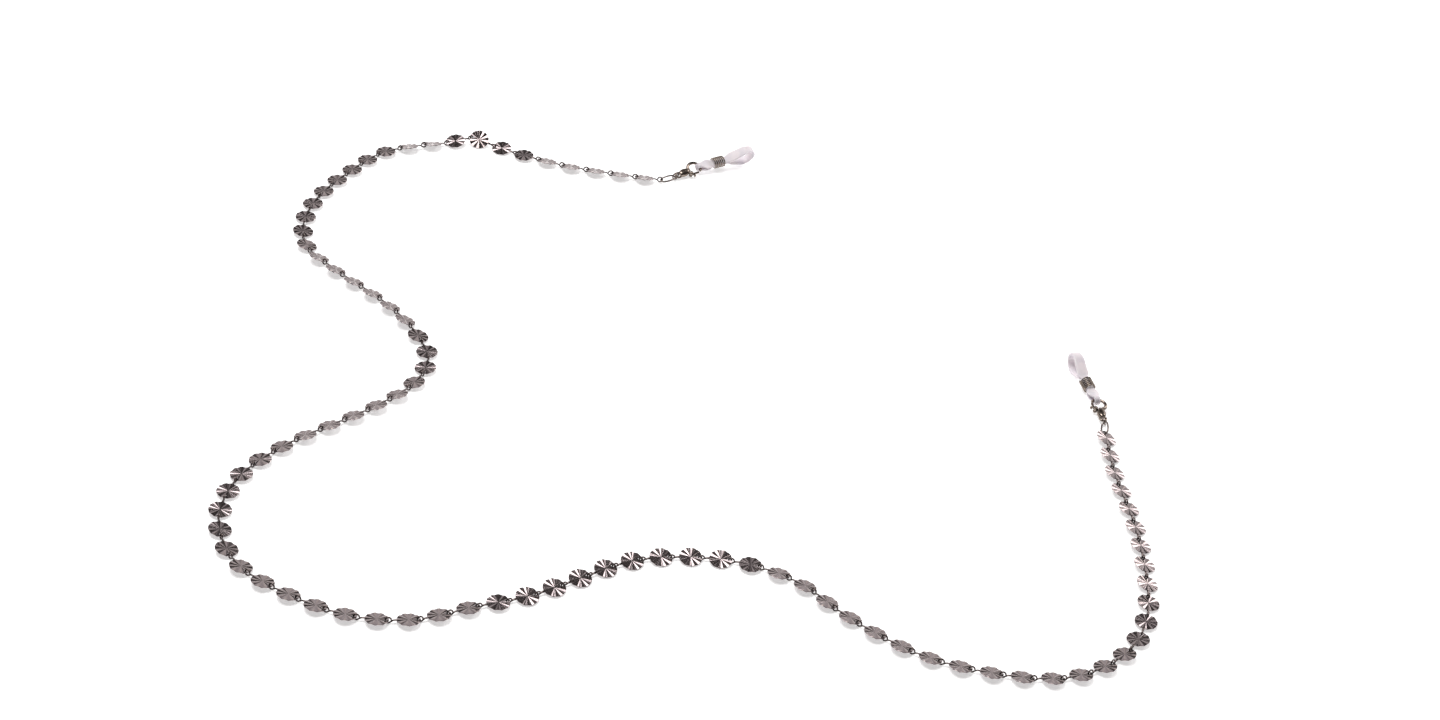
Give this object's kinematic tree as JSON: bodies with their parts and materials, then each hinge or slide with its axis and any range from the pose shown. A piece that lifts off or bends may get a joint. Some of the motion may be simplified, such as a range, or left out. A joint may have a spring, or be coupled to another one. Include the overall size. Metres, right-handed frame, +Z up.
{
  "type": "eyeglasses chain",
  "caption": "Eyeglasses chain of linked fluted metal discs, with a lobster clasp at each end holding a clear silicone loop and sliding coil for a temple arm",
  "frame": {"origin": "middle of the underside of the whole outline, on the surface that the chain lies on", "axes": "+Z up, away from the surface; +X to the right and +Y away from the viewer; the ends lie toward +Y"},
  "size_m": [0.257, 0.2488, 0.0074],
  "materials": {
    "disc_metal": "dark plated metal, pressed with radial flutes, bright where worn",
    "wire_steel": "polished steel wire",
    "clasp_steel": "polished cast clasp",
    "spring_steel": "plain spring wire",
    "silicone": "clear milky silicone, soft gloss",
    "coil_steel": "polished wire wound in a close coil"
  },
  "bodies": {
    "links_01_02": {"links_01_02": "disc_metal"},
    "links_03_04": {"links_03_04": "disc_metal"},
    "links_05_06": {"links_05_06": "disc_metal"},
    "links_07_08": {"links_07_08": "disc_metal"},
    "links_09_10": {"links_09_10": "disc_metal"},
    "links_11_12": {"links_11_12": "disc_metal"},
    "links_13_14": {"links_13_14": "disc_metal"},
    "links_15_16": {"links_15_16": "disc_metal"},
    "links_17_18": {"links_17_18": "disc_metal"},
    "links_19_20": {"links_19_20": "disc_metal"},
    "links_21_22": {"links_21_22": "disc_metal"},
    "links_23_24": {"links_23_24": "disc_metal"},
    "links_25_26": {"links_25_26": "disc_metal"},
    "links_27_28": {"links_27_28": "disc_metal"},
    "links_29_30": {"links_29_30": "disc_metal"},
    "links_31_32": {"links_31_32": "disc_metal"},
    "links_33_34": {"links_33_34": "disc_metal"},
    "links_35_36": {"links_35_36": "disc_metal"},
    "links_37_38": {"links_37_38": "disc_metal"},
    "links_39_40": {"links_39_40": "disc_metal"},
    "links_41_42": {"links_41_42": "disc_metal"},
    "links_43_44": {"links_43_44": "disc_metal"},
    "links_45_46": {"links_45_46": "disc_metal"},
    "links_47_48": {"links_47_48": "disc_metal"},
    "links_49_50": {"links_49_50": "disc_metal"},
    "links_51_52": {"links_51_52": "disc_metal"},
    "links_53_54": {"links_53_54": "disc_metal"},
    "links_55_56": {"links_55_56": "disc_metal"},
    "links_57_58": {"links_57_58": "disc_metal"},
    "links_59_60": {"links_59_60": "disc_metal"},
    "links_61_62": {"links_61_62": "disc_metal"},
    "links_63_64": {"links_63_64": "disc_metal"},
    "links_65_66": {"links_65_66": "disc_metal"},
    "links_67_68": {"links_67_68": "disc_metal"},
    "links_69_70": {"links_69_70": "disc_metal"},
    "links_71_72": {"links_71_72": "disc_metal"},
    "links_73_74": {"links_73_74": "disc_metal"},
    "links_75_76": {"links_75_76": "disc_metal"},
    "links_77_78": {"links_77_78": "disc_metal"},
    "links_79_80": {"links_79_80": "disc_metal"},
    "links_81_82": {"links_81_82": "disc_metal"},
    "links_83_84": {"links_83_84": "disc_metal"},
    "links_85_86": {"links_85_86": "disc_metal"},
    "link_87": {"link_87": "disc_metal"},
    "oval_link_right": {"oval_link_right": "wire_steel"},
    "jump_ring_right": {"clasp_ring_right": "wire_steel"},
    "clasp_right": {"clasp_body_right": "clasp_steel", "clasp_pin_right": "clasp_steel", "clasp_spring_right": "spring_steel"},
    "lever_right": {"clasp_lever_right": "clasp_steel"},
    "silicone_right": {"silicone_loop_right": "silicone"},
    "coil_right": {"loop_coil_right": "coil_steel"},
    "oval_link_left": {"oval_link_left": "wire_steel"},
    "jump_ring_left": {"clasp_ring_left": "wire_steel"},
    "clasp_left": {"clasp_body_left": "clasp_steel", "clasp_pin_left": "clasp_steel", "clasp_spring_left": "spring_steel"},
    "lever_left": {"clasp_lever_left": "clasp_steel"},
    "silicone_left": {"silicone_loop_left": "silicone"},
    "coil_left": {"loop_coil_left": "coil_steel"}
  },
  "joints": [
    {"name": "lever_right", "type": "hinge", "parent": "clasp_right", "child": "lever_right", "pos_m": [0.11384, 0.01296, 0.00158], "axis": [-0.0133, 0.0685, -0.9976], "range_deg": [0, 10], "stiffness_Nm_per_rad": 0.0005, "springref_deg": -20.05},
    {"name": "coil_right", "type": "slide", "parent": "silicone_right", "child": "coil_right", "axis": [-0.3576, 0.9299, 0.0861], "range_m": [-0.0007, 0.001]},
    {"name": "silicone_right", "type": "hinge", "parent": "clasp_right", "child": "silicone_right", "pos_m": [0.11413, 0.01726, 0.00187], "axis": [-0.9337, -0.358, -0.0121], "range_deg": [-45, 45]},
    {"name": "clasp_right", "type": "hinge", "parent": "jump_ring_right", "child": "clasp_right", "pos_m": [0.11603, 0.00932, 0.0013], "axis": [0.0133, -0.0685, 0.9976], "range_deg": [-40, 40]},
    {"name": "jump_ring_right", "type": "hinge", "parent": "oval_link_right", "child": "jump_ring_right", "pos_m": [0.11627, 0.0081, 0.0013], "axis": [0.8897, 0.1729, 0.4226], "range_deg": [-60, 60]},
    {"name": "oval_link_right", "type": "hinge", "parent": "links_01_02", "child": "oval_link_right", "pos_m": [0.11643, 0.0034, 0.0013], "axis": [-0.7656, -0.0269, 0.6428], "range_deg": [-60, 60]},
    {"name": "lever_left", "type": "hinge", "parent": "clasp_left", "child": "lever_left", "pos_m": [-0.0136, 0.10877, 0.00137], "axis": [0.1376, -0.3393, 0.9305], "range_deg": [0, 10], "stiffness_Nm_per_rad": 0.0005, "springref_deg": -20.05},
    {"name": "coil_left", "type": "slide", "parent": "silicone_left", "child": "coil_left", "axis": [0.8328, 0.5454, 0.0945], "range_m": [-0.0007, 0.001]},
    {"name": "silicone_left", "type": "hinge", "parent": "clasp_left", "child": "silicone_left", "pos_m": [-0.01133, 0.11231, 0.00232], "axis": [-0.5397, 0.7621, 0.3577], "range_deg": [-45, 45]},
    {"name": "clasp_left", "type": "hinge", "parent": "jump_ring_left", "child": "clasp_left", "pos_m": [-0.01748, 0.10702, 0.0013], "axis": [0.1376, -0.3393, 0.9305], "range_deg": [-40, 40]},
    {"name": "jump_ring_left", "type": "hinge", "parent": "oval_link_left", "child": "jump_ring_left", "pos_m": [-0.01839, 0.10616, 0.0013], "axis": [0.682, -0.7314, 0], "range_deg": [-60, 60]},
    {"name": "oval_link_left", "type": "hinge", "parent": "link_87", "child": "oval_link_left", "pos_m": [-0.02166, 0.10278, 0.00133], "axis": [0.0539, -0.0446, 0.9975], "range_deg": [-100, 30]},
    {"name": "swing_02_03", "type": "hinge", "parent": "links_03_04", "child": "links_01_02", "pos_m": [0.1181, -0.0134, 0.00118], "axis": [0.2639, 0.0426, 0.9636], "range_deg": [-25, 34]},
    {"name": "fold_04_05", "type": "hinge", "parent": "links_05_06", "child": "links_03_04", "pos_m": [0.12124, -0.02807, 0.00104], "axis": [0.9417, 0.2293, -0.2461], "range_deg": [-90, 90]},
    {"name": "swing_06_07", "type": "hinge", "parent": "links_07_08", "child": "links_05_06", "pos_m": [0.1242, -0.04427, 0.00103], "axis": [-0.2239, -0.0215, -0.9744], "range_deg": [-27, 32]},
    {"name": "fold_08_09", "type": "hinge", "parent": "links_09_10", "child": "links_07_08", "pos_m": [0.12537, -0.05922, 0.00104], "axis": [-0.9728, -0.0559, 0.2249], "range_deg": [-90, 90]},
    {"name": "swing_10_11", "type": "hinge", "parent": "links_11_12", "child": "links_09_10", "pos_m": [0.12489, -0.07567, 0.00098], "axis": [-0.0087, 0.0013, 1], "range_deg": [-40, 19]},
    {"name": "fold_12_13", "type": "hinge", "parent": "links_13_14", "child": "links_11_12", "pos_m": [0.11974, -0.08968, 0.00107], "axis": [0.8932, -0.4315, 0.1262], "range_deg": [-90, 90]},
    {"name": "swing_14_15", "type": "hinge", "parent": "links_15_16", "child": "links_13_14", "pos_m": [0.10844, -0.10153, 0.00108], "axis": [0.1078, -0.2166, -0.9703], "range_deg": [-16, 43]},
    {"name": "fold_16_17", "type": "hinge", "parent": "links_17_18", "child": "links_15_16", "pos_m": [0.09441, -0.10644, 0.00108], "axis": [-0.1909, 0.9513, -0.2419], "range_deg": [-90, 90]},
    {"name": "swing_18_19", "type": "hinge", "parent": "links_19_20", "child": "links_17_18", "pos_m": [0.07795, -0.10654, 0.00108], "axis": [0.0347, 0.2394, 0.9703], "range_deg": [-35, 24]},
    {"name": "fold_20_21", "type": "hinge", "parent": "links_21_22", "child": "links_19_20", "pos_m": [0.06338, -0.10322, 0.00108], "axis": [-0.299, -0.9231, 0.2419], "range_deg": [-90, 90]},
    {"name": "swing_22_23", "type": "hinge", "parent": "links_23_24", "child": "links_21_22", "pos_m": [0.04894, -0.09533, 0.00108], "axis": [-0.1411, -0.1965, -0.9703], "range_deg": [-25, 34]},
    {"name": "fold_24_25", "type": "hinge", "parent": "links_25_26", "child": "links_23_24", "pos_m": [0.03736, -0.08585, 0.00108], "axis": [0.6649, 0.7066, -0.2419], "range_deg": [-90, 90]},
    {"name": "swing_26_27", "type": "hinge", "parent": "links_27_28", "child": "links_25_26", "pos_m": [0.02239, -0.07925, 0.00098], "axis": [0.0002, 0.0263, 0.9997], "range_deg": [-18, 41]},
    {"name": "fold_28_29", "type": "hinge", "parent": "links_29_30", "child": "links_27_28", "pos_m": [0.00746, -0.07911, 0.00097], "axis": [0.0857, -0.9779, -0.1908], "range_deg": [-90, 90]},
    {"name": "swing_30_31", "type": "hinge", "parent": "links_31_32", "child": "links_29_30", "pos_m": [-0.00834, -0.08359, 0.00097], "axis": [-0.097, 0.147, -0.9844], "range_deg": [-42, 17]},
    {"name": "fold_32_33", "type": "hinge", "parent": "links_33_34", "child": "links_31_32", "pos_m": [-0.0202, -0.0927, 0.00097], "axis": [-0.6614, 0.7302, 0.1712], "range_deg": [-90, 90]},
    {"name": "swing_34_35", "type": "hinge", "parent": "links_35_36", "child": "links_33_34", "pos_m": [-0.03271, -0.10343, 0.00097], "axis": [0.0835, -0.1323, 0.9877], "range_deg": [-38, 21]},
    {"name": "fold_36_37", "type": "hinge", "parent": "links_37_38", "child": "links_35_36", "pos_m": [-0.04576, -0.1108, 0.00098], "axis": [0.4506, -0.8923, 0.0262], "range_deg": [-90, 90]},
    {"name": "swing_38_39", "type": "hinge", "parent": "links_39_40", "child": "links_37_38", "pos_m": [-0.05977, -0.11946, 0.001], "axis": [0.0509, -0.2104, -0.9763], "range_deg": [-13, 46]},
    {"name": "fold_40_41", "type": "hinge", "parent": "links_41_42", "child": "links_39_40", "pos_m": [-0.07452, -0.12177, 0.00103], "axis": [-0.0558, 0.9737, -0.2207], "range_deg": [-90, 90]},
    {"name": "swing_42_43", "type": "hinge", "parent": "links_43_44", "child": "links_41_42", "pos_m": [-0.09051, -0.11814, 0.00105], "axis": [0.0901, 0.2154, 0.9724], "range_deg": [-33, 26]},
    {"name": "fold_44_45", "type": "hinge", "parent": "links_43_44", "child": "links_45_46", "pos_m": [-0.10404, -0.11171, 0.00111], "axis": [-0.4663, -0.8521, 0.2377], "range_deg": [-90, 90]},
    {"name": "swing_46_47", "type": "hinge", "parent": "links_45_46", "child": "links_47_48", "pos_m": [-0.11404, -0.09886, 0.00097], "axis": [-0.1657, -0.0521, -0.9848], "range_deg": [-41, 18]},
    {"name": "fold_48_49", "type": "hinge", "parent": "links_47_48", "child": "links_49_50", "pos_m": [-0.11669, -0.08425, 0.00098], "axis": [0.9956, 0.0352, -0.0872], "range_deg": [-90, 90]},
    {"name": "swing_50_51", "type": "hinge", "parent": "links_49_50", "child": "links_51_52", "pos_m": [-0.11253, -0.06845, 0.00097], "axis": [-0.123, 0.0655, 0.9902], "range_deg": [-21, 38]},
    {"name": "fold_52_53", "type": "hinge", "parent": "links_51_52", "child": "links_53_54", "pos_m": [-0.10411, -0.05608, 0.00125], "axis": [-0.764, 0.6048, -0.2248], "range_deg": [-90, 90]},
    {"name": "swing_54_55", "type": "hinge", "parent": "links_53_54", "child": "links_55_56", "pos_m": [-0.09305, -0.04387, 0.00128], "axis": [0.233, -0.2029, -0.9511], "range_deg": [-28, 31]},
    {"name": "fold_56_57", "type": "hinge", "parent": "links_55_56", "child": "links_57_58", "pos_m": [-0.08349, -0.03231, 0.00137], "axis": [0.7471, -0.5886, 0.309], "range_deg": [-90, 90]},
    {"name": "swing_58_59", "type": "hinge", "parent": "links_57_58", "child": "links_59_60", "pos_m": [-0.07677, -0.01739, 0.00098], "axis": [-0.1045, -0.0016, 0.9945], "range_deg": [-47, 12]},
    {"name": "fold_60_61", "type": "hinge", "parent": "links_59_60", "child": "links_61_62", "pos_m": [-0.07999, -0.00314, 0.00097], "axis": [-0.8947, -0.4467, 0], "range_deg": [-90, 90]},
    {"name": "swing_62_63", "type": "hinge", "parent": "links_61_62", "child": "links_63_64", "pos_m": [-0.09032, 0.00963, 0.00147], "axis": [-0.2469, -0.2817, -0.9272], "range_deg": [-23, 36]},
    {"name": "fold_64_65", "type": "hinge", "parent": "links_63_64", "child": "links_65_66", "pos_m": [-0.10205, 0.01895, 0.00147], "axis": [0.5365, 0.7562, -0.3746], "range_deg": [-90, 90]},
    {"name": "swing_66_67", "type": "hinge", "parent": "links_65_66", "child": "links_67_68", "pos_m": [-0.1153, 0.02874, 0.0016], "axis": [0.2274, 0.3021, 0.9258], "range_deg": [-23, 36]},
    {"name": "fold_68_69", "type": "hinge", "parent": "links_67_68", "child": "links_69_70", "pos_m": [-0.12383, 0.04076, 0.00099], "axis": [-0.8827, -0.396, 0.2531], "range_deg": [-90, 90]},
    {"name": "swing_70_71", "type": "hinge", "parent": "links_69_70", "child": "links_71_72", "pos_m": [-0.1253, 0.05706, 0.00098], "axis": [0.0343, -0.0065, -0.9994], "range_deg": [-39, 20]},
    {"name": "fold_72_73", "type": "hinge", "parent": "links_71_72", "child": "links_73_74", "pos_m": [-0.12173, 0.0716, 0.00098], "axis": [0.9508, -0.3019, 0.0698], "range_deg": [-90, 90]},
    {"name": "swing_74_75", "type": "hinge", "parent": "links_73_74", "child": "links_75_76", "pos_m": [-0.11515, 0.0867, 0.00098], "axis": [-0.0603, 0.0351, 0.9976], "range_deg": [-23, 36]},
    {"name": "fold_76_77", "type": "hinge", "parent": "links_75_76", "child": "links_77_78", "pos_m": [-0.10557, 0.09788, 0.00134], "axis": [-0.6099, 0.7894, -0.0697], "range_deg": [-90, 90]},
    {"name": "swing_78_79", "type": "hinge", "parent": "links_77_78", "child": "links_79_80", "pos_m": [-0.09134, 0.10612, 0.00097], "axis": [0.1202, 0.2023, -0.9719], "range_deg": [-38, 21]},
    {"name": "fold_80_81", "type": "hinge", "parent": "links_79_80", "child": "links_81_82", "pos_m": [-0.07729, 0.10826, 0.00112], "axis": [-0.2129, -0.7886, -0.5769], "range_deg": [-90, 90]},
    {"name": "swing_82_83", "type": "hinge", "parent": "links_81_82", "child": "links_83_84", "pos_m": [-0.06146, 0.10382, 0.00123], "axis": [0.0478, 0.2885, 0.9563], "range_deg": [-33, 26]},
    {"name": "fold_84_85", "type": "hinge", "parent": "links_83_84", "child": "links_85_86", "pos_m": [-0.04659, 0.10206, 0.00127], "axis": [0.054, 0.9522, -0.3007], "range_deg": [-90, 90]},
    {"name": "swing_86_87", "type": "hinge", "parent": "links_85_86", "child": "link_87", "pos_m": [-0.03012, 0.10217, 0.00133], "axis": [0.0234, -0.3247, -0.9455], "range_deg": [-27, 32]}
  ]
}
